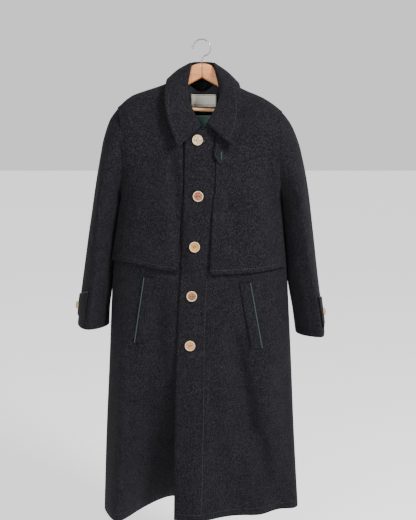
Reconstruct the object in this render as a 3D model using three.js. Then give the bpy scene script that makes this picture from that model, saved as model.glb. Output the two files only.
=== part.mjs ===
// A long wool overcoat with storm flaps, hanging on its wooden hanger.
// Millimetres. The origin is inside the top of the hook's bend, +X is the wearer's left,
// the front faces -Y and +Z is up.
import * as THREE from 'three';

// Cloth and seams
const CLOTH = 2.5;
const LINING = 1;
const LABEL_THICKNESS = 0.8;
const COLLAR_THICKNESS = 3.6;
const SEAM = 0.5;
const NORMAL_STEP = 0.5;
const LEAST_AGREEMENT = 0.6;
const LAP_STEP = 4.6;
const LAP_FADE = { overlap: [5, 24], underlap: [6, 34] };

// Levels of the coat, measured down from the hook
const UNDERARM = -430;
const HEM = -1333;

// The armhole is a flat ring, leaned in a little towards the chest
const ARMHOLE_DEPTH = 72;
const ARMHOLE_LEAN = 0.16;
const ARMHOLE = { left: { top: 221, bottom: 222 }, right: { top: 231, bottom: 227 } };

// How square the body's plan is below and above the underarm, how far the throat stands forward,
// how the folds grow downwards and how strongly the side seams hold them
const BODY_SQUARENESS = 2.4;
const CHEST_SQUARENESS = 3;
const THROAT_FULLNESS = 0.8;
const FOLD_GROWTH = 1.3;
const SEAM_HOLD = 8;

// Buttons, pockets and hanger
const FRONT_BUTTON_RADIUS = 14;
const CUFF_BUTTON_RADIUS = 10;
const BUTTON_THICKNESS = 4.4;
const WELT_WIDTH = 27;
const PIPING_RADIUS = 1.9;
const WIRE_RADIUS = 1.9;
const HOOK_RADIUS = 24;
const WOOD_THICKNESS = 12;
const BAR_RADIUS = 5;
const BAR_HALF_LENGTH = 150;

const mix = THREE.MathUtils.lerp;
const clamp = THREE.MathUtils.clamp;
const smooth = THREE.MathUtils.smoothstep;
const degrees = THREE.MathUtils.degToRad;

// Turns rows of numbers into records with named columns
function table(names, rows) {
  return rows.map((row) => Object.fromEntries(names.map((name, k) => [name, row[k]])));
}

// Reads a table between its rows along a smooth curve; the first column is the one looked up
function readTable(rows, value) {
  const key = Object.keys(rows[0])[0];
  const rising = rows[rows.length - 1][key] > rows[0][key];
  const sign = rising ? 1 : -1;
  const last = rows.length - 2;
  let k = 0;
  while (k < last && sign * value > sign * rows[k + 1][key]) {
    k += 1;
  }
  const span = rows[k + 1][key] - rows[k][key];
  const t = clamp((value - rows[k][key]) / span, 0, 1);
  const result = {};
  for (const name of Object.keys(rows[0])) {
    const before = rows[Math.max(k - 1, 0)];
    const after = rows[Math.min(k + 2, rows.length - 1)];
    const slopeIn = span * (rows[k + 1][name] - before[name]) / (rows[k + 1][key] - before[key]);
    const slopeOut = span * (after[name] - rows[k][name]) / (after[key] - rows[k][key]);
    const rise = rows[k + 1][name] - rows[k][name];
    const curve = t * (1 - t) * ((1 - t) * (slopeIn - rise) - t * (slopeOut - rise));
    result[name] = rows[k][name] + rise * t + curve;
  }
  return result;
}

// The shoulder line seen from the front, from the neck out to each armhole
const SHOULDER = {
  left: table(['out', 'z'], [
    [0, -80], [30, -82], [60, -89], [75, -101], [102, -125], [165, -152], [201, -175], [224, -195],
  ]),
  right: table(['out', 'z'], [
    [0, -80], [30, -82], [60, -89], [75, -100], [97, -115], [150, -133], [197, -151], [232, -184],
  ]),
};

// Half widths, depths and the side seam of the body below the armhole
const BODY = table(['z', 'left', 'right', 'front', 'back', 'seamLeft', 'seamRight'], [
  [-430, 222, 227, 118, 105, 0, 0],
  [-520, 230, 238, 123, 110, -4, -6],
  [-600, 237, 247, 126, 113, -8, -12],
  [-720, 244, 255, 128, 117, -14, -20],
  [-890, 254, 263, 126, 122, -18, -28],
  [-1105, 265, 275, 115, 132, -22, -38],
  [-1333, 280, 284, 100, 145, -26, -48],
]);

// Soft vertical folds: where each starts, where it reaches the hem, its half width and its depth there
const FOLD_COLUMNS = ['xTop', 'zTop', 'xHem', 'halfWidth', 'depth', 'bend'];
const LEFT_FRONT_FOLDS = table(FOLD_COLUMNS, [
  [-20, -760, -28, 52, -46, 1],
  [85, -720, 215, 24, 24, 1.6],
  [150, -640, 172, 26, -12, 1],
  [206, -700, 252, 18, 12, 1],
]);
const RIGHT_FRONT_FOLDS = table(FOLD_COLUMNS, [
  [-62, -860, -84, 58, 135, 1],
  [-215, -780, -250, 30, -92, 1],
  [-150, -640, -160, 24, 8, 1],
]);
const BACK_FOLDS = table(FOLD_COLUMNS, [
  [-150, -620, -178, 34, 26, 1],
  [-70, -540, -84, 30, -22, 1],
  [18, -480, 34, 36, 30, 1],
  [104, -600, 128, 28, -20, 1],
  [176, -680, 208, 26, 22, 1],
]);

// Front neckline, from the throat out to the shoulder seam, and the back neckline as a turn
// round the shoulder, where negative degrees lie behind the shoulder line
const FRONT_NECK = table(['out', 'z'], [
  [-50, -243], [0, -238], [15, -232], [40, -205], [56, -170], [66, -126],
]);
const NECK_POINT = 66;
const BACK_NECK = table(['out', 'turn'], [[0, -48], [30, -40], [50, -19], [NECK_POINT, 5]]);
const SHOULDER_SEAM = table(['out', 'turn'], [
  [NECK_POINT, 5], [76, 8], [98, 19.5], [122, 27], [186, 25], [240, 14],
]);

// Front edges by level: 0 the neck, 1 the underarm, 2 the hem
const FRONT_EDGE = table(['level', 'overlap', 'underlap'], [
  [0, -45, 30], [1, -48, 30], [1.18, -55.5, 28], [1.5, -70, 20], [2, -79, 12],
]);

function sideOf(x) {
  return x < 0 ? 'right' : 'left';
}

function shoulderHeight(x) {
  return readTable(SHOULDER[sideOf(x)], Math.abs(x)).z;
}

// How much of the full depth the body has at x: 1 at the middle and 0 at the side. It rounds
// into the side seam, and above the underarm it runs on more flatly into the armhole.
function fullness(x, halfWidth, low = 1) {
  const part = Math.abs(x) / halfWidth;
  const round = Math.max(1 - part ** BODY_SQUARENESS, 0) ** (1 / BODY_SQUARENESS);
  return mix(1 - part ** CHEST_SQUARENESS, round, low ** 4);
}

function armholeX(side, turn) {
  const ring = ARMHOLE[side];
  const low = (1 - Math.cos(turn)) / 2;
  return mix(ring.top, ring.bottom, low) - ARMHOLE_LEAN * ARMHOLE_DEPTH * Math.max(0, Math.sin(turn));
}

// A point between shoulder line and underarm; the turn runs from 0 on the shoulder line to
// 180 degrees at the underarm, positive down the front and negative down the back
function upperPoint(x, turn) {
  const ridge = shoulderHeight(x);
  const z = ridge - (ridge - UNDERARM) * (1 - Math.cos(turn)) / 2;
  const full = fullness(x, armholeX(sideOf(x), turn), (1 - Math.cos(turn)) / 2);
  const edgeY = -ARMHOLE_DEPTH * Math.sin(turn);
  const reach = Math.sin(turn / 2);
  const depth = turn > 0 ? BODY[0].front : BODY[0].back;
  const power = turn > 0 ? mix(THROAT_FULLNESS, 1, smooth(Math.abs(x), 40, 150)) : 1;
  const middleY = -Math.sign(reach) * depth * Math.abs(reach) ** power;
  return new THREE.Vector3(x, edgeY + (middleY - edgeY) * full, z);
}

function foldDepth(folds, x, z) {
  let total = 0;
  for (const fold of folds) {
    const fall = clamp((fold.zTop - z) / (fold.zTop - HEM), 0, 1);
    const centre = mix(fold.xTop, fold.xHem, fall ** fold.bend);
    const off = (x - centre) / fold.halfWidth;
    total += fold.depth * fall ** FOLD_GROWTH * Math.exp(-off * off / 2);
  }
  return total;
}

// A point between underarm and hem; face is -1 on the front and 1 on the back
function lowerPoint(face, folds, x, z) {
  const row = readTable(BODY, z);
  const side = sideOf(x);
  const halfWidth = row[side];
  const seamY = side === 'left' ? row.seamLeft : row.seamRight;
  const depth = face < 0 ? -row.front : row.back;
  const inner = 1 - Math.min(Math.abs(x) / halfWidth, 1) ** SEAM_HOLD;
  const y = seamY + (depth - seamY) * fullness(x, halfWidth) + foldDepth(folds, x, z) * inner;
  return new THREE.Vector3(x, y, z);
}

// Level by height: 1 at the underarm and 2 at the hem; above the underarm it is a rough one
function levelOf(z) {
  return z > UNDERARM ? 1 - (z - UNDERARM) / 300 : 1 + (UNDERARM - z) / (UNDERARM - HEM);
}

function turnAt(x, z) {
  const ridge = shoulderHeight(x);
  return Math.acos(clamp(1 - 2 * (ridge - z) / (ridge - UNDERARM), -1, 1));
}

// The left front lies over the right one down the placket, and each steps half the way
function lapShift(side, x, level) {
  const edge = readTable(FRONT_EDGE, clamp(level, 0, 2));
  if (side === 'left') {
    const [near, far] = LAP_FADE.underlap;
    return -LAP_STEP / 2 * (1 - smooth(x, edge.underlap + near, edge.underlap + far));
  }
  const [near, far] = LAP_FADE.overlap;
  return LAP_STEP / 2 * smooth(x, edge.overlap - far, edge.overlap - near);
}

const FRONT_FOLDS = { left: LEFT_FRONT_FOLDS, right: RIGHT_FRONT_FOLDS };

// The front's mid-surface at a given x and height
function frontAt(side, x, z) {
  const point = z > UNDERARM ? upperPoint(x, turnAt(x, z)) : lowerPoint(-1, FRONT_FOLDS[side], x, z);
  point.y += lapShift(side, x, levelOf(z));
  return point;
}

function backAt(x, z) {
  return z > UNDERARM ? upperPoint(x, -turnAt(x, z)) : lowerPoint(1, BACK_FOLDS, x, z);
}

// Columns of the body are spread by these steps from the middle to the side, and each front has
// a few more from the middle to its edge, so that all pieces share their columns at the seams
const SIDE_STEPS = 14;
const EDGE_STEPS = 3;
const UPPER_ROWS = 11;
const ROWS = 22;

// A column's reach as a part of the half width; it runs on evenly past the side, for normals
function reachOfStep(step) {
  const swing = Math.sin(step / SIDE_STEPS * Math.PI / 2);
  return Math.abs(step) > SIDE_STEPS ? 2 * Math.sign(step) - swing : swing;
}

// How far out from the middle a front's column lies, towards its own side
function frontOut(side, step, halfWidth, level, drawn = 1) {
  if (step >= 0) {
    return halfWidth * reachOfStep(step) * drawn;
  }
  const row = readTable(FRONT_EDGE, level);
  const edge = side === 'left' ? row.overlap : -row.underlap;
  return edge * -step / EDGE_STEPS;
}

// A point of a front by column step and level, which is 0 at neck and shoulder, 1 at the
// underarm and 2 at the hem
function frontPoint(side, step, level, drawn = 1) {
  const sign = side === 'left' ? 1 : -1;
  let point;
  if (level < 1) {
    const top = frontTopTurn(frontOut(side, step, ARMHOLE[side].top, 0));
    const turn = top + (Math.PI - top) * level;
    point = upperPoint(sign * frontOut(side, step, armholeX(side, turn), level, drawn), turn);
  } else {
    const z = mix(UNDERARM, HEM, level - 1);
    const x = sign * frontOut(side, step, readTable(BODY, z)[side], level, drawn);
    point = lowerPoint(-1, FRONT_FOLDS[side], x, z);
  }
  point.y += lapShift(side, point.x, level);
  return point;
}

function frontPanel(side) {
  const columns = SIDE_STEPS + EDGE_STEPS;
  return (u, v) => frontPoint(side, columns * u - EDGE_STEPS, 2 * v);
}

function frontTopTurn(out) {
  if (out < NECK_POINT) {
    return turnAt(Math.abs(out), readTable(FRONT_NECK, out).z);
  }
  return degrees(readTable(SHOULDER_SEAM, out).turn);
}

// The back stops a little short of the shoulder seam, where the cloth turns sharply at the neck
const SHOULDER_EASE = 0.2;

function backTopTurn(out) {
  const rows = out < NECK_POINT ? BACK_NECK : SHOULDER_SEAM;
  return degrees(readTable(rows, out).turn - SHOULDER_EASE);
}

function backPanel(u, v) {
  const level = 2 * v;
  const step = SIDE_STEPS * (2 * u - 1);
  const side = step < 0 ? 'right' : 'left';
  if (level < 1) {
    const top = backTopTurn(Math.abs(ARMHOLE[side].top * reachOfStep(step)));
    const turn = top + (-Math.PI - top) * level;
    return upperPoint(armholeX(side, turn) * reachOfStep(step), turn);
  }
  const z = mix(UNDERARM, HEM, level - 1);
  return lowerPoint(1, BACK_FOLDS, readTable(BODY, z)[side] * reachOfStep(step), z);
}

// Unit normal of a mid-surface, taken across a short step of its grid
function normalAt(surface, u, v, across, down) {
  const stepU = NORMAL_STEP / across;
  const stepV = NORMAL_STEP / down;
  const alongU = surface(u + stepU, v).sub(surface(u - stepU, v));
  const alongV = surface(u, v + stepV).sub(surface(u, v - stepV));
  return alongU.cross(alongV).normalize();
}

// A surface that lies on another, moved along its normal by the height at each place
function laidOn(surface, height, across = 20, down = 20) {
  return (u, v) => {
    const amount = typeof height === 'function' ? height(u, v) : height;
    return surface(u, v).addScaledVector(normalAt(surface, u, v, across, down), amount);
  };
}

// Normal at a point of a grid, from the faces that meet there
function gridNormal(grid, i, j) {
  const total = new THREE.Vector3();
  for (const [down, across] of [[1, 1], [1, -1], [-1, -1], [-1, 1]]) {
    const below = grid[j + down]?.[i];
    const beside = grid[j][i + across];
    if (below && beside) {
      const alongU = beside.clone().sub(grid[j][i]).multiplyScalar(across);
      const alongV = below.clone().sub(grid[j][i]).multiplyScalar(down);
      total.add(alongU.cross(alongV));
    }
  }
  return total.normalize();
}

// A closed cloth wall about a mid-surface, its edges drawn in by half a seam. Where two pieces
// meet at a seam, seamNormal gives both the same normal, so that their rims run side by side.
// Where the surface turns sharply, the wall keeps to the normal of its own faces.
function clothWall(surface, across, down, thickness = CLOTH, seamNormal = () => null) {
  const grid = [];
  for (let j = 0; j <= down; j += 1) {
    const row = [];
    for (let i = 0; i <= across; i += 1) {
      row.push(surface(i / across, j / down));
    }
    grid.push(row);
  }
  const positions = [];
  const index = (i, j, layer) => 2 * (j * (across + 1) + i) + layer;
  for (let j = 0; j <= down; j += 1) {
    for (let i = 0; i <= across; i += 1) {
      const point = grid[j][i].clone();
      const pull = (other) => point.add(other.clone().sub(grid[j][i]).setLength(SEAM / 2));
      if (i === 0) pull(grid[j][1]);
      if (i === across) pull(grid[j][across - 1]);
      if (j === 0) pull(grid[1][i]);
      if (j === down) pull(grid[down - 1][i]);
      const own = gridNormal(grid, i, j);
      const normal = normalAt(surface, i / across, j / down, across, down);
      const shared = seamNormal(i / across, j / down);
      if (shared) {
        normal.copy(shared).multiplyScalar(Math.sign(own.dot(shared)));
      } else if (normal.dot(own) < LEAST_AGREEMENT) {
        normal.copy(own);
      }
      for (const way of [1, -1]) {
        const moved = point.clone().addScaledVector(normal, way * thickness / 2);
        positions.push(moved.x, moved.y, moved.z);
      }
    }
  }
  const faces = [];
  const quad = (a, b, c, d) => faces.push(a, b, c, a, c, d);
  for (let j = 0; j < down; j += 1) {
    for (let i = 0; i < across; i += 1) {
      quad(index(i, j, 0), index(i + 1, j, 0), index(i + 1, j + 1, 0), index(i, j + 1, 0));
      quad(index(i, j, 1), index(i, j + 1, 1), index(i + 1, j + 1, 1), index(i + 1, j, 1));
    }
  }
  const rim = (i, j, k, l) => quad(index(k, l, 0), index(i, j, 0), index(i, j, 1), index(k, l, 1));
  for (let i = 0; i < across; i += 1) {
    rim(i, 0, i + 1, 0);
    rim(across - i, down, across - i - 1, down);
  }
  for (let j = 0; j < down; j += 1) {
    rim(across, j, across, j + 1);
    rim(0, down - j, 0, down - j - 1);
  }
  return geometryFrom(positions, faces);
}

function geometryFrom(positions, faces) {
  const geometry = new THREE.BufferGeometry();
  geometry.setAttribute('position', new THREE.Float32BufferAttribute(positions, 3));
  geometry.setIndex(faces);
  geometry.computeVertexNormals();
  return geometry;
}

// A solid bar through closed rings of points, capped at both ends
function loftedBar(rings) {
  const sides = rings[0].length;
  const positions = rings.flat().flatMap((point) => [point.x, point.y, point.z]);
  const faces = [];
  for (let r = 0; r < rings.length - 1; r += 1) {
    for (let k = 0; k < sides; k += 1) {
      const a = r * sides + k;
      const b = r * sides + (k + 1) % sides;
      faces.push(a, b, b + sides, a, b + sides, a + sides);
    }
  }
  const end = (rings.length - 1) * sides;
  for (let k = 1; k < sides - 1; k += 1) {
    faces.push(0, k + 1, k, end, end + k, end + k + 1);
  }
  return geometryFrom(positions, faces);
}

// A round cord along points, with flat ends
function cordAlong(points, radius, sides, steps) {
  const outline = new THREE.Shape();
  for (let k = 0; k < sides; k += 1) {
    const angle = 2 * Math.PI * k / sides;
    const draw = k === 0 ? 'moveTo' : 'lineTo';
    outline[draw](radius * Math.cos(angle), radius * Math.sin(angle));
  }
  outline.closePath();
  const path = new THREE.CatmullRomCurve3(points);
  return new THREE.ExtrudeGeometry(outline, { steps, extrudePath: path, bevelEnabled: false });
}

const coat = new THREE.Group();
coat.name = 'wool_overcoat_on_hanger';

// Finishes, each mesh with a material of its own
const FINISH = {
  wool: { color: 0x262629, roughness: 0.95, metalness: 0 },
  collarWool: { color: 0x2c2b2e, roughness: 0.95, metalness: 0 },
  facing: { color: 0x17181c, roughness: 0.9, metalness: 0 },
  lining: { color: 0x3d524f, roughness: 0.45, metalness: 0 },
  label: { color: 0xd8d2c4, roughness: 0.7, metalness: 0 },
  piping: { color: 0x4c5c58, roughness: 0.8, metalness: 0 },
  horn: { color: 0xb98a5a, roughness: 0.45, metalness: 0 },
  wood: { color: 0xcca07f, roughness: 0.5, metalness: 0 },
  steel: { color: 0xb8b8ba, roughness: 0.25, metalness: 1 },
};

function addPiece(name, geometry, finish) {
  const mesh = new THREE.Mesh(geometry, new THREE.MeshStandardMaterial(FINISH[finish]));
  mesh.name = name;
  coat.add(mesh);
  return mesh;
}

// Back and fronts; at the side seams the cloth faces straight sideways
const SIDEWAYS = new THREE.Vector3(1, 0, 0);
const atSideSeam = (u, v) => ((u === 1 || u === 0) && v >= 0.5 ? SIDEWAYS : null);
const atFrontSideSeam = (u, v) => (u === 1 && v >= 0.5 ? SIDEWAYS : null);
addPiece('back_panel', clothWall(backPanel, 2 * SIDE_STEPS, ROWS, CLOTH, atSideSeam), 'wool');
for (const side of ['left', 'right']) {
  const wall = clothWall(frontPanel(side), SIDE_STEPS + EDGE_STEPS, ROWS, CLOTH, atFrontSideSeam);
  addPiece(`front_${side}`, wall, 'wool');
}

// Storm flaps, laid on the fronts from the shoulder seam and hanging free below the chest
const FLAP_EDGES = {
  left: table(['level', 'inner', 'outer'], [
    [0, 41, 1], [0.7, 37, 1], [0.84, 32, 0.96], [0.95, 30, 0.92], [1.04, 28, 0.93], [1.14, 22, 0.94],
    [1.22, 20, 0.94],
  ]),
  right: table(['level', 'inner', 'outer'], [
    [0, 54, 1], [0.7, 53, 0.99], [0.84, 53, 0.975], [0.95, 53, 0.97], [1.04, 56, 0.972], [1.14, 59.5, 0.98],
    [1.22, 62, 0.98],
  ]),
};
const FLAP_BOTTOM = {
  left: table(['out', 'level'], [[0, 1.218], [120, 1.214], [225, 1.204]]),
  right: table(['out', 'level'], [[50, 1.211], [110, 1.202], [175, 1.187], [250, 1.19]]),
};
const FLAP_FIRST_STEP = { left: 2, right: 3 };
const FLAP_ROWS = UPPER_ROWS + 3;
const FLAP_FREE_FROM = -350;
const FLAP_FREE_LENGTH = 260;
const FLAP_SWING = 6;

// The flap shares the front's columns and rows; its first column is its own front edge, its last
// row its own bottom, and below the chest its outer edge draws in from the armhole
function flapColumns(side) {
  return SIDE_STEPS - FLAP_FIRST_STEP[side] + 1;
}

function flapSurface(side) {
  const firstStep = FLAP_FIRST_STEP[side];
  return (u, v) => {
    const column = u * flapColumns(side);
    const row = v * FLAP_ROWS;
    const widest = ARMHOLE[side].top;
    const roughOut = widest * reachOfStep(column + firstStep - 1);
    const bottom = readTable(FLAP_BOTTOM[side], roughOut).level;
    const lastWhole = (FLAP_ROWS - 1) / UPPER_ROWS;
    const level = row <= FLAP_ROWS - 1 ? row / UPPER_ROWS : mix(lastWhole, bottom, row - FLAP_ROWS + 1);
    const edges = readTable(FLAP_EDGES[side], level);
    const stepIn = Math.asin(edges.inner / widest) * 2 / Math.PI * SIDE_STEPS;
    const step = column < 1 ? mix(stepIn, firstStep, column) : column + firstStep - 1;
    const drawn = mix(1, edges.outer, smooth(step, firstStep, SIDE_STEPS));
    return frontPoint(side, step, level, drawn);
  };
}

for (const side of ['left', 'right']) {
  const sign = side === 'left' ? -1 : 1;
  const base = flapSurface(side);
  const lift = (u, v) => {
    const hang = clamp((FLAP_FREE_FROM - base(u, v).z) / FLAP_FREE_LENGTH, 0, 1);
    return sign * (CLOTH + SEAM + FLAP_SWING * hang * hang);
  };
  const columns = flapColumns(side);
  const hung = laidOn(base, lift, columns, FLAP_ROWS);
  addPiece(`storm_flap_${side}`, clothWall(hung, columns, FLAP_ROWS), 'wool');
}

// Sleeves, from the armhole ring down to the cuff. Each row of the table is a section with its
// outer and inner points, how far it reaches to front and back, how round it is and how far out
// the front ridge lies, as a part of the way from inner to outer.
const SLEEVE_COLUMNS = ['row', 'outerX', 'outerZ', 'innerX', 'innerZ', 'front', 'back', 'round', 'ridge'];
const SLEEVE = {
  left: table(SLEEVE_COLUMNS, [
    [0, 221.6, -193, 223, -426, 72, 72, 2, 0.5],
    [1, 238, -214, 227, -427, 76, 74, 2, 0.5],
    [2, 252, -240, 231, -430, 79, 76, 2, 0.5],
    [3, 266, -275, 232, -437, 81, 77, 1.95, 0.52],
    [4, 279, -320, 232, -449, 83, 77, 1.9, 0.54],
    [5, 292, -385, 231, -468, 84, 75, 1.8, 0.56],
    [6, 302, -450, 232.5, -500, 85, 71, 1.7, 0.58],
    [7, 311, -520, 236, -545, 86, 66, 1.65, 0.62],
    [8, 320, -595, 241.5, -608, 87, 60, 1.65, 0.68],
    [9, 331, -680, 250, -690, 86, 54, 1.65, 0.74],
    [10, 341, -745, 259, -752, 84, 50, 1.65, 0.78],
    [11, 350, -812, 268, -816, 82, 47, 1.65, 0.79],
  ]),
  right: table(SLEEVE_COLUMNS, [
    [0, 231.6, -184, 228, -426, 72, 72, 2, 0.5],
    [1, 248, -206, 232, -427, 76, 74, 2, 0.5],
    [2, 259, -230, 236, -430, 79, 76, 2, 0.52],
    [3, 269, -262, 235, -437, 81, 77, 1.95, 0.55],
    [4, 279, -305, 235, -449, 83, 77, 1.9, 0.57],
    [5, 291, -370, 236, -468, 84, 75, 1.8, 0.59],
    [6, 302, -436, 240, -500, 85, 71, 1.7, 0.59],
    [7, 313, -503, 245, -540, 85, 66, 1.65, 0.57],
    [8, 325, -580, 251, -598, 85, 60, 1.65, 0.55],
    [9, 337, -660, 257.5, -672, 84, 54, 1.65, 0.54],
    [10, 347, -725, 262.5, -732, 83, 50, 1.65, 0.56],
    [11, 355, -791, 266, -793, 81, 47, 1.65, 0.58],
  ]),
};
const LAST_SLEEVE_ROW = 11;
const INNER_SEAM = 200;
const RIDGE_TOP_TURN = 20;
const SEAM_STATION = 15;
const CAP_DEPTH = 1.35;
const CAP_LEAST = 0.08;
const CAP_FRONT = 80;
const CAP_BACK = -85;
const ARMHOLE_CLEAR = 1.1;

function softPower(value, power) {
  return Math.sign(value) * Math.abs(value) ** power;
}

// A sleeve point: turn 0 is the outer side, 90 the front, 180 the inner side, in degrees
function sleevePoint(side, row, turn) {
  const section = readTable(SLEEVE[side], row);
  const alongOut = softPower(Math.cos(degrees(turn)), 2 / section.round);
  const alongFront = softPower(Math.sin(degrees(turn)), 2 / section.round);
  const forward = Math.max(alongFront, 0);
  const shifted = alongOut + (2 * section.ridge - 1) * forward ** 3;
  const part = (shifted + 1) / 2;
  const lean = ARMHOLE_LEAN * section.front * Math.max(Math.sin(degrees(turn)), 0);
  const x = mix(section.innerX, section.outerX, part) - lean * (1 - smooth(row, 0, 5)) + ARMHOLE_CLEAR;
  const y = alongFront > 0 ? -alongFront * section.front : -alongFront * section.back;
  const sign = side === 'left' ? 1 : -1;
  return new THREE.Vector3(sign * x, y, mix(section.innerZ, section.outerZ, part));
}

// How many rows the shoulder cap takes at a turn; its points fade out at front and back
function capRows(turn) {
  if (turn > CAP_FRONT + 1 || turn < CAP_BACK - 1) {
    return 0;
  }
  const fade = Math.max(Math.cos(degrees(turn) * 90 / (CAP_FRONT + 2)), 0);
  return Math.max(CAP_LEAST, CAP_DEPTH * fade ** 0.8);
}

// The seam down the outer front starts near the top of the cap and swings round to the front
function ridgeTurn(row) {
  return mix(RIDGE_TOP_TURN, 90, smooth(row, 1.4, 8));
}

function sleeveHalf(side, endTurn) {
  return (u, v) => {
    const row = mix(capRows(mix(RIDGE_TOP_TURN, endTurn, u)), LAST_SLEEVE_ROW, v);
    return sleevePoint(side, row, mix(ridgeTurn(row), endTurn, u));
  };
}

const SLEEVE_ROWS = 16;
const HALF_COLUMNS = (INNER_SEAM - RIDGE_TOP_TURN) / SEAM_STATION;
const CAP_COLUMNS = (CAP_FRONT - CAP_BACK) / SEAM_STATION;
for (const side of ['left', 'right']) {
  const front = sleeveHalf(side, INNER_SEAM);
  const back = sleeveHalf(side, INNER_SEAM - 360);
  const cap = (u, v) => {
    const turn = mix(CAP_FRONT, CAP_BACK, u);
    return sleevePoint(side, v * capRows(turn), turn);
  };
  addPiece(`sleeve_front_${side}`, clothWall(front, HALF_COLUMNS, SLEEVE_ROWS), 'wool');
  addPiece(`sleeve_back_${side}`, clothWall(back, HALF_COLUMNS, SLEEVE_ROWS), 'wool');
  addPiece(`shoulder_cap_${side}`, clothWall(cap, CAP_COLUMNS, 2), 'wool');
}

// Collar, stand and leaf in one round the neck. Each row is a section from the middle of the back
// (0) to the front end (8): the neck seam, the fold at the top and the leaf's outer edge.
const NECK_SEAM = table(['along', 'x', 'y', 'z'], [
  [0, 0, 42, -135], [1, 30, 34, -116], [2, 47, 18, -90], [3, 59, 4, -91], [4, 65, -11, -100],
  [5, 56, -38, -144], [6, 47, -58, -172], [7, 26, -82, -208], [8, 14, -92, -227],
]);
const COLLAR_COLUMNS = ['along', 'foldX', 'foldY', 'foldZ', 'outX', 'outY', 'outZ'];
const COLLAR = {
  left: table(COLLAR_COLUMNS, [
    [0, 0, 46, -58, 0, 58, -134],
    [1, 24, 45, -59, 50, 56, -134],
    [2, 33, 30, -61, 88, 40, -125],
    [3, 34.5, 6, -62, 99, -5, -112],
    [4, 35, -14, -70, 104, -40, -131],
    [5, 50, -42, -126, 108, -75, -162],
    [6, 52, -59, -152, 107, -92, -196],
    [7, 41, -80, -186, 104, -106, -234],
    [8, 17, -97, -226, 86, -122, -284],
  ]),
  right: table(COLLAR_COLUMNS, [
    [0, 0, 46, -58, 0, 58, -134],
    [1, 24, 45, -59, 50, 56, -134],
    [2, 31, 30, -61, 86, 40, -121],
    [3, 32, 6, -62, 93, -5, -103],
    [4, 31, -14, -70, 97, -38, -118],
    [5, 41, -42, -124, 101, -72, -158],
    [6, 40, -58, -152, 94, -92, -196],
    [7, 29, -79, -184, 82, -106, -238],
    [8, 4, -99, -230, 63, -122, -285],
  ]),
};
const FOLD_HALF_WIDTH = 4;
const FOLD_DROP = 3;
const LEAF_CLEAR = { left: 6.1, right: 5.6 };
const LEAF_BULGE = 5;

// The leaf lies on flap and front: where it would sink in, it is held off along their normal
function heldOffFront(side, point, clear) {
  const here = frontAt(side, point.x, point.z);
  const stride = 4;
  const below = frontAt(side, point.x, point.z - stride);
  const beside = frontAt(side, point.x + stride, point.z);
  const outwards = below.sub(here).cross(beside.clone().sub(here)).normalize();
  outwards.multiplyScalar(-Math.sign(outwards.y));
  const distance = point.clone().sub(here).dot(outwards);
  return point.addScaledVector(outwards, Math.max(clear - distance, 0));
}

// Section through the collar: part 0 at the neck seam, 0.4 at the fold and 1 at the outer edge
function collarPoint(side, along, part) {
  const sign = side === 'left' ? 1 : -1;
  const seam = readTable(NECK_SEAM, along);
  const row = readTable(COLLAR[side], along);
  const neck = new THREE.Vector3(seam.x, seam.y, seam.z);
  const fold = new THREE.Vector3(row.foldX, row.foldY, row.foldZ);
  const outer = new THREE.Vector3(row.outX, row.outY, row.outZ);
  const across = outer.clone().sub(neck).normalize().multiplyScalar(FOLD_HALF_WIDTH);
  const inside = fold.clone().sub(across).addScaledVector(neck.clone().sub(fold).normalize(), FOLD_DROP);
  const outside = fold.clone().add(across).addScaledVector(outer.clone().sub(fold).normalize(), FOLD_DROP);
  const middle = outside.clone().lerp(outer, 0.5);
  middle.y -= LEAF_BULGE * smooth(along, 3, 6);
  middle.z += LEAF_BULGE * smooth(along, 1.5, 3) * (1 - smooth(along, 4.2, 6));
  const stations = table(['part', 'x', 'y', 'z'], [
    [0, neck.x, neck.y, neck.z], [0.28, inside.x, inside.y, inside.z], [0.4, fold.x, fold.y, fold.z],
    [0.52, outside.x, outside.y, outside.z], [0.76, middle.x, middle.y, middle.z],
    [1, outer.x, outer.y, outer.z],
  ]);
  const at = readTable(stations, part);
  const point = new THREE.Vector3(sign * at.x, at.y, at.z);
  if (part > 0.44 && along > 4) {
    const settled = heldOffFront(side, point.clone(), LEAF_CLEAR[side]);
    point.lerp(settled, smooth(part, 0.44, 0.56) * smooth(along, 4, 4.6));
  }
  return point;
}

const COLLAR_END = 8;
const COLLAR_HALF_COLUMNS = 14;
const collar = (u, v) => {
  const along = (2 * u - 1) * COLLAR_END;
  return collarPoint(along < 0 ? 'right' : 'left', Math.abs(along), v);
};
addPiece('collar', clothWall(collar, 2 * COLLAR_HALF_COLUMNS, 10, COLLAR_THICKNESS), 'collarWool');

// Inside the back neck: a dark facing with a bare label, and the green half lining below it
function backPatch(halfSteps, topLevel, bottomLevel) {
  return (u, v) => {
    const step = mix(-halfSteps, halfSteps, u);
    const middle = (step / SIDE_STEPS + 1) / 2;
    return backPanel(middle, mix(topLevel, bottomLevel, v) / 2);
  };
}

const FACING_STEPS = 2;
const FACING_BOTTOM = 2 / UPPER_ROWS;
const INNER_GAP = 1.15;
const facingDepth = CLOTH / 2 + INNER_GAP + LINING / 2;
const facing = laidOn(backPatch(FACING_STEPS, 0.012, FACING_BOTTOM), -facingDepth);
addPiece('neck_facing', clothWall(facing, 2 * FACING_STEPS, 2, LINING), 'facing');

const LINING_EASE = 2;
const HALF_LINING = { halfWidth: 182, top: -203, bottom: -512 };
const liningBase = (u, v) => backAt(
  mix(-HALF_LINING.halfWidth, HALF_LINING.halfWidth, u),
  mix(HALF_LINING.top, HALF_LINING.bottom, v),
);
addPiece('back_lining', clothWall(laidOn(liningBase, -facingDepth - LINING_EASE), 14, 9, LINING), 'lining');

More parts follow.
